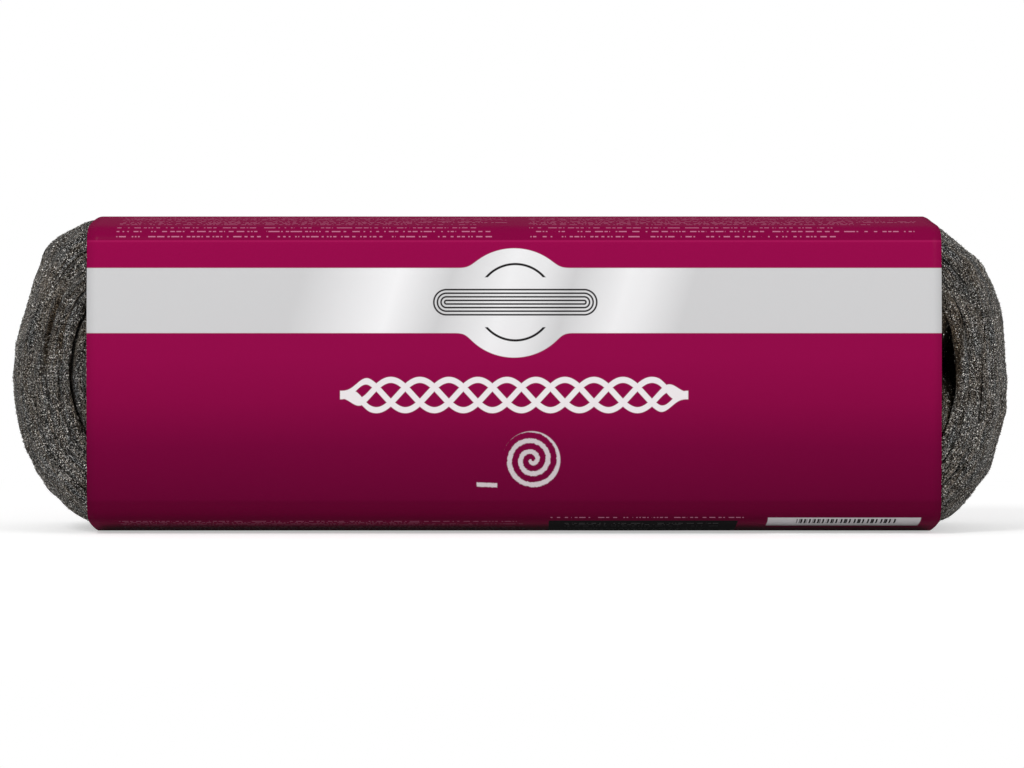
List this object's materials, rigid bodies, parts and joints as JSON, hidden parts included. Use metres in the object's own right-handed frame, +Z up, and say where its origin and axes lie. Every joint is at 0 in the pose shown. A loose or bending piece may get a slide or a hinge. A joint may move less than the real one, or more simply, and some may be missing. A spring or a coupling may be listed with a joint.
{
  "type": "steel wool pad in a card sleeve",
  "caption": "Flat-wound hank of steel wool in a folded card sleeve, with both rounded wool ends standing out of it.",
  "frame": {"origin": "on the surface that the sleeve rests on, under the middle of the whole object", "axes": "+X along the hank, -Y out of the front panel with the pale band, +Z up"},
  "size_m": [0.274, 0.0786, 0.0862],
  "materials": {
    "printed_card": "smooth printed card with a light satin varnish, deep magenta with a pale grey band",
    "steel_wool": "dense tangle of fine dull steel fibres"
  },
  "bodies": {
    "root": {"wool_hank": "steel_wool", "card_sleeve": "printed_card"}
  },
  "joints": []
}
